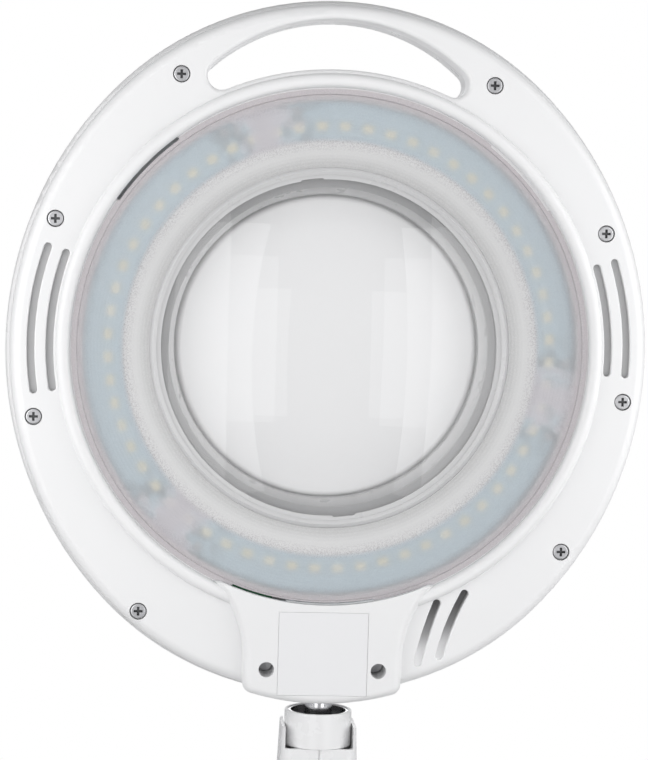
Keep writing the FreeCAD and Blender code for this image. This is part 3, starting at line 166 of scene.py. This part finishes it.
def add_panel(name, azimuths, elevations, distance, brightness):
    """A softbox that fills a stretch of directions, as the lens sees it."""
    middle_turn = sum(azimuths) / 2
    middle_rise = sum(elevations) / 2
    width = 2 * distance * math.tan(math.radians(azimuths[1] - azimuths[0]) / 2)
    height = 2 * distance * math.tan(math.radians(elevations[1] - elevations[0]) / 2)
    place = seen_from_lens(middle_turn, middle_rise, distance)
    add_area(name, place, LENS, (width, height), brightness)


def add_world():
    """White behind the lamp, a dim even light from all round, and a brighter room in reflections."""
    world = bpy.data.worlds.new("studio")
    bpy.context.scene.world = world
    world.use_nodes = True
    tree = world.node_tree
    tree.nodes.clear()
    output = tree.nodes.new("ShaderNodeOutputWorld")
    mix = tree.nodes.new("ShaderNodeMixShader")
    path = tree.nodes.new("ShaderNodeLightPath")
    fill = tree.nodes.new("ShaderNodeBackground")
    fill.inputs["Color"].default_value = (0.96, 0.97, 1.0, 1)
    matt_fill = 0.15
    reflected_fill = 0.45
    strength = tree.nodes.new("ShaderNodeMapRange")
    strength.inputs["To Min"].default_value = matt_fill
    strength.inputs["To Max"].default_value = reflected_fill
    tree.links.new(path.outputs["Is Glossy Ray"], strength.inputs["Value"])
    tree.links.new(strength.outputs["Result"], fill.inputs["Strength"])
    backdrop = tree.nodes.new("ShaderNodeBackground")
    backdrop.inputs["Color"].default_value = (1, 1, 1, 1)
    tree.links.new(path.outputs["Is Camera Ray"], mix.inputs["Fac"])
    tree.links.new(fill.outputs[0], mix.inputs[1])
    tree.links.new(backdrop.outputs[0], mix.inputs[2])
    tree.links.new(mix.outputs[0], output.inputs["Surface"])


def add_lights():
    """Softboxes at both sides, a strip above, dim fills below and behind, and a light over the floor."""
    # Name, how far it reaches to the side, how far it reaches up and down, distance and brightness.
    panels = (
        ("softbox_border", 8.4, 16.0, (-14.4, 11.6), 1.4, 0.7),
        ("softbox", 16.0, 38.0, (-30, 30), 1.4, 1.5),
        ("side_panel", 40.0, 82.0, (-20, 30), 0.5, 2.8),
    )
    for side in (-1, 1):
        for name, near, far, rise, distance, brightness in panels:
            turn = sorted((side * near - CAMERA_TURN, side * far - CAMERA_TURN))
            add_panel(name, turn, rise, distance, brightness)
    behind = LENS + Vector((0.3, 1.6, 0.4))
    add_area("overhead", seen_from_lens(0, 48, 1.35), LENS, (1.3, 0.12), 2.4)
    add_area("low_fill", seen_from_lens(0, -42, 1.35), LENS, (1.4, 0.4), 0.12)
    add_area("back_fill", behind, LENS + Vector((0, 0, -0.3)), (1.6, 1.6), 0.9)
    add_area("floor_fill", Vector((0, 0.5, 0.6)), Vector((0, 0.5, 0)), (1.6, 0.9), 1.4)


def add_floor():
    """A round pale floor, just below the end of the clamp screw."""
    radius = 1.1
    steps = 96
    level = cad_bounds[0][2] - 2 * MM
    turns = [2 * math.pi * i / steps for i in range(steps)]
    points = [(radius * math.cos(turn), radius * math.sin(turn), level) for turn in turns]
    mesh = bpy.data.meshes.new("floor")
    mesh.from_pydata(points, [], [range(steps)])
    floor = bpy.data.objects.new("floor", mesh)
    bpy.context.scene.collection.objects.link(floor)
    mesh.materials.append(plain_floor())


# ---------------------------------------------------------------------------
# Materials
# ---------------------------------------------------------------------------
class Shader:
    """A node material while it is being put together."""

    def __init__(self, name):
        self.material = bpy.data.materials.new(name)
        self.material.use_nodes = True
        self.tree = self.material.node_tree
        self.tree.nodes.clear()
        self.output = self.tree.nodes.new("ShaderNodeOutputMaterial")
        place = self.tree.nodes.new("ShaderNodeTexCoord")
        self.place = place.outputs["Object"]

    def add(self, kind, inputs=None, **settings):
        """A node with its inputs set to values or linked to sockets."""
        node = self.tree.nodes.new("ShaderNode" + kind)
        for name, value in settings.items():
            setattr(node, name, value)
        for name, value in (inputs or {}).items():
            self.feed(node.inputs[name], value)
        return node

    def feed(self, socket, value):
        """Set an input, or link a socket to it."""
        if isinstance(value, bpy.types.NodeSocket):
            self.tree.links.new(value, socket)
        elif isinstance(value, (tuple, list)) and len(value) == 3 and socket.type == "RGBA":
            socket.default_value = (*value, 1)
        else:
            socket.default_value = value

    def noise(self, size, detail=2.0, place=None, roughness=0.5):
        """Noise with features of about the given size in millimetres, from 0 to 1."""
        node = self.add("TexNoise", {
            "Vector": place or self.place,
            "Scale": 1 / (size * MM),
            "Detail": detail,
            "Roughness": roughness,
        })
        return node.outputs["Fac"]

    def math(self, operation, first, second=0.0):
        """One arithmetic step."""
        node = self.add("Math", operation=operation)
        self.feed(node.inputs[0], first)
        self.feed(node.inputs[1], second)
        return node.outputs[0]

    def spread(self, value, low, high, start=0.0, end=1.0, smooth=False):
        """Map a value from low..high to start..end, held at the ends."""
        node = self.add("MapRange", {
            "Value": value,
            "From Min": low,
            "From Max": high,
            "To Min": start,
            "To Max": end,
        }, interpolation_type="SMOOTHSTEP" if smooth else "LINEAR")
        return node.outputs["Result"]

    def blend(self, amount, first, second):
        """A colour between two."""
        node = self.add("Mix", data_type="RGBA")
        self.feed(node.inputs[0], amount)
        self.feed(node.inputs[6], first)
        self.feed(node.inputs[7], second)
        return node.outputs[2]

    def bump(self, height, depth):
        """A bump of the given depth in millimetres."""
        inputs = {"Height": height, "Distance": depth * MM, "Strength": 1.0}
        return self.add("Bump", inputs).outputs["Normal"]

    def surface(self, colour, roughness, **more):
        """A Principled surface."""
        inputs = {"Base Color": colour, "Roughness": roughness}
        inputs.update({name.replace("_", " "): value for name, value in more.items()})
        return self.add("BsdfPrincipled", inputs).outputs[0]

    def mixed(self, amount, first, second):
        """A shader between two."""
        node = self.add("MixShader")
        self.feed(node.inputs[0], amount)
        self.feed(node.inputs[1], first)
        self.feed(node.inputs[2], second)
        return node.outputs[0]

    def from_lens(self):
        """The distance from the lens's axis, in millimetres, and the angle about it in degrees."""
        offset = self.add("VectorMath", {0: self.place, 1: tuple(LENS)}, operation="SUBTRACT")
        parts = self.add("SeparateXYZ", {0: offset.outputs[0]})
        across = parts.outputs["X"]
        up = parts.outputs["Z"]
        squares = self.math("ADD", self.math("MULTIPLY", across, across), self.math("MULTIPLY", up, up))
        radius = self.math("MULTIPLY", self.math("SQRT", squares), 1000)
        angle = self.math("MULTIPLY", self.math("ARCTAN2", up, across), 180 / math.pi)
        return radius, angle

    def from_board_gap(self, angle):
        """The angle from the nearest gap between two LED boards, in degrees."""
        return self.math("PINGPONG", self.math("SUBTRACT", angle, BOARD_GAP), HALF_BOARD)

    def from_line(self, value, line):
        """How far a value is from a line."""
        return self.math("ABSOLUTE", self.math("SUBTRACT", value, line))

    def depth(self):
        """How far back a point lies in the row's frame."""
        return self.add("SeparateXYZ", {0: self.place}).outputs["Y"]

    def plastic(self, colour, rough, grain, depth):
        """Moulded plastic of a colour, with fine spark texture and soft gloss."""
        gloss = self.spread(self.noise(6, 3), 0.3, 0.7, rough - 0.04, rough + 0.05)
        normal = self.bump(self.noise(grain, 2), depth)
        return self.surface(colour, gloss, Normal=normal, IOR=1.5)

    def lighting_ray(self):
        """1 for a ray that gathers light for a matt surface, which clear plastic lets straight through."""
        path = self.add("LightPath")
        return self.math("MAXIMUM", path.outputs["Is Shadow Ray"], path.outputs["Is Diffuse Ray"])

    def done(self, shader):
        """Finish the material."""
        self.tree.links.new(shader, self.output.inputs["Surface"])
        return self.material


def plain_floor():
    """Matt pale studio floor."""
    shader = Shader("studio_floor")
    speckle = shader.noise(14, 3)
    colour = shader.blend(speckle, (0.84, 0.84, 0.84), (0.88, 0.88, 0.88))
    return shader.done(shader.surface(colour, 0.7))


def flow(shader, low, high):
    """The faint flow variation of a moulded colour."""
    return shader.blend(shader.noise(45, 2), low, high)


def moulded(name, low, high, rough, grain=0.35, depth=0.006):
    """Moulded plastic."""
    shader = Shader(name)
    return shader.done(shader.plastic(flow(shader, low, high), rough, grain, depth))


def bezel_white(low, high):
    """White shells, with painted shade that darkens the bezel's vents further down."""
    shader = Shader("white_shell")
    radius, _ = shader.from_lens()
    height = shader.add("SeparateXYZ", {0: shader.place}).outputs["Z"]
    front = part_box("lower_bezel")[0].y
    sunk = shader.spread(shader.depth(), front + VENT_TOP, front + VENT_FLOOR)
    past_bead = shader.math("GREATER_THAN", radius, BEAD_EDGE)
    short_of_rim = shader.spread(radius, *VENTS_FADE, 1.0, 0.0, smooth=True)
    below_handle = shader.math("LESS_THAN", height, LENS.z + HANDLE_RISE)
    in_vent = shader.math("MULTIPLY", shader.math("MULTIPLY", past_bead, short_of_rim), below_handle)
    # Painted shade: the vents grow darker with depth, below the handle and inside the rim.
    painted_shade = shader.math("MULTIPLY", sunk, in_vent)
    colour = shader.blend(painted_shade, flow(shader, low, high), (0.28, 0.28, 0.283))
    return shader.done(shader.plastic(colour, 0.34, 0.5, 0.008))


def cover_white(low, high):
    """The outer covers, in a grey that paints the shade on their rims, with painted shade darkening the
    tunnel behind the lens towards its front.
    """
    shader = Shader("cover_shell")
    radius, _ = shader.from_lens()
    before_lid = shader.math("LESS_THAN", shader.depth(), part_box("lens_cover")[0].y)
    in_tunnel = shader.math("MULTIPLY", before_lid, shader.math("LESS_THAN", radius, TUNNEL_LIMIT))
    # Painted shade on the tunnel wall, darker towards its front.
    painted_shade = shader.math("MULTIPLY", in_tunnel, shader.spread(radius, TUNNEL_BACK, TUNNEL_FRONT, 0.3, 1.0))
    colour = shader.blend(painted_shade, flow(shader, low, high), (0.42, 0.42, 0.424))
    return shader.done(shader.plastic(colour, 0.3, 0.5, 0.008))


def metal(name, low, high, rough, stretch=(1, 1, 1)):
    """Plated or brushed steel, with fine scratches drawn out along one direction."""
    shader = Shader(name)
    drawn = shader.add("VectorMath", {0: shader.place, 1: stretch}, operation="MULTIPLY").outputs[0]
    scratch = shader.noise(0.6, 4, drawn, 0.7)
    colour = shader.blend(shader.noise(9, 3), low, high)
    gloss = shader.spread(scratch, 0.25, 0.75, rough - 0.08, rough + 0.1)
    return shader.done(shader.surface(colour, gloss, Metallic=1.0, Normal=shader.bump(scratch, 0.003)))


def screw_steel():
    """Zinc-plated screws, with painted shade down in the recesses of the bezel's screws."""
    shader = Shader("screw_steel")
    cloud = shader.noise(4, 3)
    scratch = shader.noise(0.4, 4, roughness=0.7)
    colour = shader.blend(cloud, (0.42, 0.42, 0.43), (0.58, 0.58, 0.59))
    back = shader.depth()
    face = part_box("bezel_screws")[0].y
    deep = shader.spread(back, face + 0.35 * MM, face + 0.8 * MM)
    head_height = 2.2 * MM
    in_front = shader.math("LESS_THAN", back, face + head_height)
    # Painted shade: the parts of the screws down in their recesses are darkened.
    painted_recess_shade = shader.math("MULTIPLY", deep, in_front)
    colour = shader.blend(shader.math("MULTIPLY", painted_recess_shade, 0.9), colour, (0.05, 0.05, 0.052))
    gloss = shader.spread(scratch, 0.25, 0.75, 0.26, 0.42)
    normal = shader.bump(scratch, 0.004)
    return shader.done(shader.surface(colour, gloss, Metallic=0.9, Normal=normal))


def coated_steel():
    """White powder coat: orange peel and a soft shine."""
    shader = Shader("white_powder_coat")
    peel = shader.noise(1.1, 2)
    fine = shader.noise(0.25, 1)
    height = shader.math("ADD", peel, shader.math("MULTIPLY", fine, 0.3))
    tone = shader.noise(30, 2)
    colour = shader.blend(tone, (0.80, 0.80, 0.81), (0.86, 0.86, 0.87))
    gloss = shader.spread(peel, 0.3, 0.7, 0.3, 0.42)
    return shader.done(shader.surface(colour, gloss, Normal=shader.bump(height, 0.03), Coat_Weight=0.2))


def rubber():
    """Matt black rubber with a dusty bloom."""
    shader = Shader("black_rubber")
    bloom = shader.noise(5, 4)
    grain = shader.noise(0.4, 3)
    colour = shader.blend(shader.spread(bloom, 0.4, 0.75), (0.018, 0.018, 0.019), (0.05, 0.05, 0.052))
    return shader.done(shader.surface(colour, 0.78, Normal=shader.bump(grain, 0.05)))


def lens_glass():
    """Clear glass that lets the studio light through to what is behind it."""
    shader = Shader("lens_glass")
    tint = shader.blend(shader.noise(30, 2), (0.995, 0.995, 0.995), (1.0, 1.0, 1.0))
    glass = shader.add("BsdfGlass", {"Color": tint, "Roughness": 0.0, "IOR": 1.52}).outputs[0]
    clear = shader.add("BsdfTransparent", {"Color": (0.98, 0.98, 0.98)}).outputs[0]
    return shader.done(shader.mixed(shader.lighting_ray(), glass, clear))


def frosted():
    """The diffuser: a lilac rim, a frosted flat over the LEDs and a grainy grey cone."""
    shader = Shader("frosted_diffuser")
    radius, angle = shader.from_lens()
    ragged_gap = shader.spread(shader.noise(7, 3), 0.3, 0.7, -4.0, 4.0)
    cloudy = shader.math("ADD", shader.from_board_gap(angle), ragged_gap)
    near_gap = shader.spread(cloudy, 1.5, 9.0, 1.0, 0.0, smooth=True)
    grain = shader.noise(0.42, 2, roughness=0.8)
    sand = shader.spread(grain, 0.38, 0.62)
    ragged = shader.math("ADD", radius, shader.spread(grain, 0.3, 0.7, -0.9, 0.9))
    on_flat = shader.spread(ragged, CONE_EDGE - 0.6, CONE_EDGE + 2, smooth=True)
    on_rim = shader.spread(ragged, FLAT_EDGE - 1, FLAT_EDGE + 2, smooth=True)
    turned = shader.math("SINE", shader.math("MULTIPLY", radius, 5.2))
    # Painted light: the outer band of the cone is lighter, where the side light falls on it.
    painted_shoulder_light = shader.spread(radius, CONE_EDGE - 8.6, CONE_EDGE - 3.1, smooth=True)
    cone = shader.blend(sand, (0.50, 0.50, 0.50), (0.60, 0.60, 0.60))
    cone = shader.blend(shader.spread(turned, -1.0, 1.0, 0.0, 0.25), cone, (0.40, 0.40, 0.40))
    cone = shader.blend(shader.math("MULTIPLY", painted_shoulder_light, 0.7), cone, (0.72, 0.72, 0.72))
    flat = shader.blend(sand, (0.52, 0.535, 0.55), (0.62, 0.635, 0.645))
    rim = shader.blend(sand, (0.47, 0.44, 0.455), (0.53, 0.50, 0.515))
    flat = shader.blend(near_gap, flat, (0.55, 0.535, 0.56))
    colour = shader.blend(on_rim, shader.blend(on_flat, cone, flat), rim)
    from_cone = shader.from_line(radius, CONE_EDGE)
    from_rim = shader.from_line(radius, FLAT_EDGE)
    from_edge = shader.math("MINIMUM", from_cone, from_rim)
    near_edge = shader.spread(from_edge, 0.6, 3.2, 1.0, 0.0)
    specks = shader.math("MULTIPLY", shader.spread(grain, 0.40, 0.52, 0.6, 0.0), near_edge)
    colour = shader.blend(specks, colour, (0.33, 0.31, 0.33))
    height = shader.math("ADD", grain, shader.math("MULTIPLY", turned, 0.12))
    normal = shader.bump(height, 0.05)
    skin = shader.surface(colour, 0.5, Normal=normal)
    blur = shader.add("BsdfRefraction", {
        "Color": (0.97, 0.965, 0.97),
        "Roughness": 0.54,
        "IOR": 1.45,
        "Normal": normal,
    }).outputs[0]
    over_lights = shader.math("MULTIPLY", on_flat, shader.math("SUBTRACT", 1.0, on_rim))
    see_through = shader.spread(over_lights, 0, 1, 0.04, shader.spread(near_gap, 0, 1, 0.64, 0.26))
    body = shader.mixed(see_through, skin, blur)
    clear = shader.add("BsdfTransparent", {"Color": (0.88, 0.875, 0.88)}).outputs[0]
    return shader.done(shader.mixed(shader.lighting_ray(), body, clear))


def board_blue():
    """The LED boards: pale blue mask with faint tracks, and smudges of solder near the ends."""
    shader = Shader("led_board_blue")
    radius, angle = shader.from_lens()
    tracks = shader.math("SINE", shader.math("MULTIPLY", radius, 2.1))
    ribs = shader.math("SINE", shader.math("MULTIPLY", angle, math.radians(60)))
    pattern = shader.math("MULTIPLY", shader.spread(tracks, 0.3, 0.9), shader.spread(ribs, -0.6, 0.4))
    base = shader.blend(shader.noise(18, 3), (0.40, 0.60, 0.69), (0.47, 0.65, 0.73))
    colour = shader.blend(shader.math("MULTIPLY", pattern, 0.25), base, (0.32, 0.50, 0.64))
    smudge = shader.spread(shader.noise(5.5, 4), 0.47, 0.57)
    near_end = shader.spread(shader.from_board_gap(angle), 7.0, 18.0, 1.0, 0.0, smooth=True)
    dark = shader.math("MULTIPLY", shader.math("MULTIPLY", smudge, near_end), 0.9)
    colour = shader.blend(dark, colour, (0.08, 0.13, 0.15))
    return shader.done(shader.surface(colour, 0.4))


def led_phosphor():
    """LED chips: warm yellow phosphor, a little stronger on some than on others."""
    shader = Shader("led_phosphor")
    tint = shader.noise(9, 1)
    colour = shader.blend(shader.spread(tint, 0.35, 0.65), (0.81, 0.72, 0.42), (0.85, 0.80, 0.57))
    return shader.done(shader.surface(colour, 0.35, Emission_Color=colour, Emission_Strength=0.06))


def circuit_board():
    """Green board of the driver, with its parts."""
    shader = Shader("driver_green")
    weave = shader.noise(0.8, 2)
    colour = shader.blend(weave, (0.02, 0.12, 0.05), (0.03, 0.17, 0.07))
    return shader.done(shader.surface(colour, 0.35, Normal=shader.bump(weave, 0.02)))


def make_materials():
    """One material for each finish, by the record's slot name."""
    white = dict(low=(0.815, 0.815, 0.82), high=(0.845, 0.845, 0.848))
    # The covers are painted grey for the shade that falls on their rims.
    grey = dict(low=(0.66, 0.66, 0.665), high=(0.70, 0.70, 0.703))
    return {
        "white_shell": bezel_white(**white),
        "cover_shell": cover_white(**grey),
        "seat_grey": moulded("seat_grey", (0.33, 0.33, 0.335), (0.38, 0.38, 0.385), 0.6, 0.8, 0.01),
        "white_knuckle": moulded("white_knuckle", rough=0.26, grain=0.8, depth=0.005, **white),
        "frosted_diffuser": frosted(),
        "lens_glass": lens_glass(),
        "lens_ring": moulded("lens_ring", (0.57, 0.57, 0.575), (0.61, 0.61, 0.613), 0.3, 0.6, 0.004),
        "board_blue": board_blue(),
        "led_yellow": led_phosphor(),
        "driver_green": circuit_board(),
        "wire_red": moulded("wire_red", (0.5, 0.03, 0.02), (0.6, 0.05, 0.03), 0.4),
        "screw_steel": screw_steel(),
        "chrome_stud": metal("chrome_stud", (0.72, 0.72, 0.73), (0.80, 0.80, 0.81), 0.14, (1, 1, 8)),
        "bracket_steel": metal("bracket_steel", (0.48, 0.48, 0.49), (0.62, 0.62, 0.63), 0.34, (1, 1, 5)),
        "arm_paint": coated_steel(),
        "spring_steel": metal("spring_steel", (0.50, 0.50, 0.51), (0.62, 0.62, 0.63), 0.28),
        "bush_nylon": moulded("bush_nylon", (0.70, 0.69, 0.64), (0.76, 0.75, 0.70), 0.42),
        "black_rubber": rubber(),
        "switch_black": moulded("switch_black", (0.015, 0.015, 0.016), (0.03, 0.03, 0.032), 0.4, 0.4, 0.01),
        "knob_grey": moulded("knob_grey", (0.07, 0.072, 0.08), (0.10, 0.102, 0.11), 0.42, 0.5, 0.015),
        "blank_plate": moulded("blank_plate", (0.80, 0.80, 0.81), (0.83, 0.83, 0.84), 0.42, 0.6, 0.004),
    }


def dress_nodes(materials):
    """Give every CAD node the material of its slot."""
    for part in frame["record"]["subparts"]:
        piece = nodes[part["node"]]
        piece.data.materials.clear()
        piece.data.materials.append(materials[part["material_slot"]])


# ---------------------------------------------------------------------------
# Springs
# ---------------------------------------------------------------------------
COIL_RADIUS = 3.4 * MM
WIRE_RADIUS = 0.6 * MM
COIL_LENGTH = 150 * MM
COIL_TO_PIN = 12 * MM
SPRING_SIDE = 15 * MM
TURNS = 56
STEPS_A_TURN = 12
LEAD = 1.5 * MM
PIN_RADIUS = 2.0 * MM


def wire(name, lines):
    """A mesh of round wire along each of several lists of points."""
    curve = bpy.data.curves.new(name, "CURVE")
    curve.dimensions = "3D"
    curve.bevel_depth = WIRE_RADIUS
    curve.bevel_resolution = 1
    curve.use_fill_caps = True
    for points in lines:
        spline = curve.splines.new("POLY")
        spline.points.add(len(points) - 1)
        for point, place in zip(spline.points, points):
            point.co = (*place, 1)
    source = bpy.data.objects.new(name + "_line", curve)
    mesh = bpy.data.meshes.new_from_object(source)
    mesh.name = name
    bpy.data.objects.remove(source)
    mesh.polygons.foreach_set("use_smooth", [True] * len(mesh.polygons))
    piece = bpy.data.objects.new(name, mesh)
    bpy.context.scene.collection.objects.link(piece)
    return piece


def round_pin(start, pin):
    """The line of a hook that comes from a point and goes round a pin that lies across x."""
    along = (pin - start).normalized()
    beside = Vector((1, 0, 0)).cross(along)
    reach = PIN_RADIUS + 1.2 * WIRE_RADIUS
    turns = [math.radians(angle) for angle in range(-60, 221, 20)]
    return [start] + [pin + (beside * math.cos(turn) + along * math.sin(turn)) * reach for turn in turns]


def coil(start, along):
    """The line of a close coil that runs along an axis from a point."""
    across = Vector((1, 0, 0))
    up = along.cross(across)
    steps = TURNS * STEPS_A_TURN
    points = []
    for step in range(steps + 1):
        turn = 2 * math.pi * step / STEPS_A_TURN
        round_axis = across * math.cos(turn) + up * math.sin(turn)
        points.append(start + along * (COIL_LENGTH * step / steps) + round_axis * COIL_RADIUS)
    return points


def make_springs(section, holder, bar, lean, material):
    """Two balance springs: coils and hooks that ride on a bar, and hooks that reach to its bracket."""
    turn = math.radians(lean)
    along = Vector((0, math.sin(turn), math.cos(turn)))
    coils = []
    hooks = []
    for side in (-1, 1):
        pin = middle(f"{section}_spring_pin")
        peg = middle(f"{holder}_spring_pegs")
        pin.x = peg.x = side * SPRING_SIDE
        top = pin - along * COIL_TO_PIN
        foot = top - along * COIL_LENGTH
        coils.append(coil(foot, along) + round_pin(top + along * LEAD, pin))
        hooks.append(round_pin(foot - along * LEAD, peg)[::-1] + [foot + Vector((COIL_RADIUS, 0, 0))])
    springs = wire(f"{section}_coils", coils)
    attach(springs, bar)
    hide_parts(f"{section}_springs")
    links = wire(f"{section}_spring_hooks", hooks)
    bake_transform(links)
    for piece in (springs, links):
        piece.data.materials.append(material)


add_camera()
add_world()
add_lights()
add_floor()
bpy.context.scene.view_settings.view_transform = "Standard"
MATERIALS = make_materials()
dress_nodes(MATERIALS)
make_springs("lower", "base", "lower_front", 18, MATERIALS["spring_steel"])
make_springs("upper", "elbow", "upper_top", -70, MATERIALS["spring_steel"])
